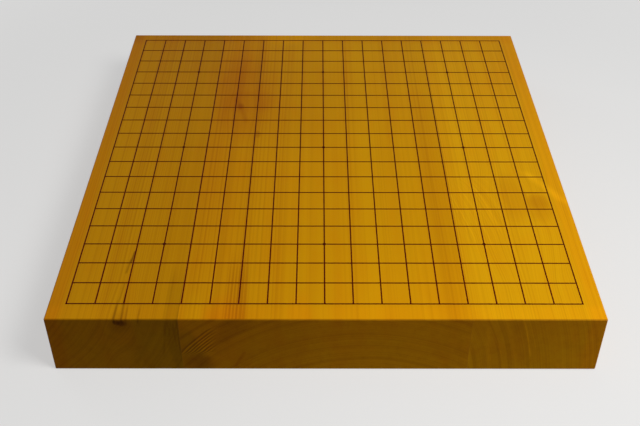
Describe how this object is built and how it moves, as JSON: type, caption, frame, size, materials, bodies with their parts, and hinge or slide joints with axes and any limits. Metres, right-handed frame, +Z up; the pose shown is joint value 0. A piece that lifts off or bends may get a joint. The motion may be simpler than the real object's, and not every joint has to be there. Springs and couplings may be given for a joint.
{
  "type": "go board",
  "caption": "Solid wooden table go board, edge-glued from full-thickness staves, with a raised black lacquer playing grid and star points on its top face.",
  "frame": {"origin": "centre of the underside's rectangle", "axes": "+Z up out of the playing face, +Y away from the player in front, along the board's longer side, +X to that player's right"},
  "size_m": [0.4242, 0.4544, 0.0548],
  "materials": {
    "left_stave_wood": "waxed golden conifer, darker heart streaks",
    "middle_stave_wood": "waxed golden-orange conifer, reddish rings",
    "right_stave_wood": "waxed golden-yellow conifer, curly figure",
    "glue": "dried wood glue, amber",
    "column_lacquer": "raised black lacquer",
    "row_lacquer": "raised black lacquer",
    "star_lacquer": "raised black lacquer"
  },
  "bodies": {
    "root": {"left_stave": "left_stave_wood", "middle_stave": "middle_stave_wood", "right_stave": "right_stave_wood", "left_glue_film": "glue", "right_glue_film": "glue", "column_line_01": "column_lacquer", "column_line_02": "column_lacquer", "column_line_03": "column_lacquer", "column_line_04": "column_lacquer", "column_line_05": "column_lacquer", "column_line_06": "column_lacquer", "column_line_07": "column_lacquer", "column_line_08": "column_lacquer", "column_line_09": "column_lacquer", "column_line_10": "column_lacquer", "column_line_11": "column_lacquer", "column_line_12": "column_lacquer", "column_line_13": "column_lacquer", "column_line_14": "column_lacquer", "column_line_15": "column_lacquer", "column_line_16": "column_lacquer", "column_line_17": "column_lacquer", "column_line_18": "column_lacquer", "column_line_19": "column_lacquer", "row_line_01": "row_lacquer", "row_line_02": "row_lacquer", "row_line_03": "row_lacquer", "row_line_04": "row_lacquer", "row_line_05": "row_lacquer", "row_line_06": "row_lacquer", "row_line_07": "row_lacquer", "row_line_08": "row_lacquer", "row_line_09": "row_lacquer", "row_line_10": "row_lacquer", "row_line_11": "row_lacquer", "row_line_12": "row_lacquer", "row_line_13": "row_lacquer", "row_line_14": "row_lacquer", "row_line_15": "row_lacquer", "row_line_16": "row_lacquer", "row_line_17": "row_lacquer", "row_line_18": "row_lacquer", "row_line_19": "row_lacquer", "star_point_front_left": "star_lacquer", "star_point_front_centre": "star_lacquer", "star_point_front_right": "star_lacquer", "star_point_middle_left": "star_lacquer", "star_point_middle_centre": "star_lacquer", "star_point_middle_right": "star_lacquer", "star_point_back_left": "star_lacquer", "star_point_back_centre": "star_lacquer", "star_point_back_right": "star_lacquer"}
  },
  "joints": []
}
